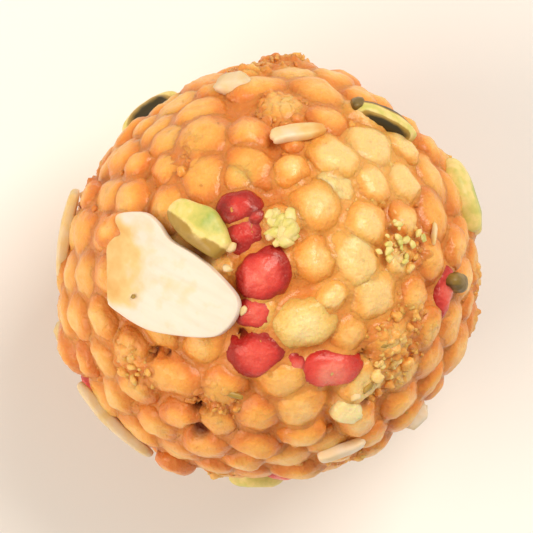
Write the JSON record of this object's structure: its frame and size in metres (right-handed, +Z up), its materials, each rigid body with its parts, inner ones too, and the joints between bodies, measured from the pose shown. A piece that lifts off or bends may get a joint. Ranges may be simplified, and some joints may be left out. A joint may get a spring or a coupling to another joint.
{
  "type": "boondi laddu",
  "caption": "Round Indian sweet rolled from fried gram flour pearls, with red pearls, an almond flake and pistachio pieces pressed in, resting on a small flat spot.",
  "frame": {"origin": "the middle of the small flat spot that the ball rests on", "axes": "+Z up through the ball, +Y towards the top of the picture when seen from above"},
  "size_m": [0.0473, 0.0479, 0.047],
  "materials": {
    "boondi": "moist, syrup-soaked, softly translucent",
    "red_boondi": "moist, syrup-soaked, dyed",
    "almond": "matte cut nut",
    "pistachio": "matte cut nut",
    "syrup": "sticky crumbs in syrup"
  },
  "bodies": {
    "root": {"laddu": "boondi"}
  },
  "joints": []
}
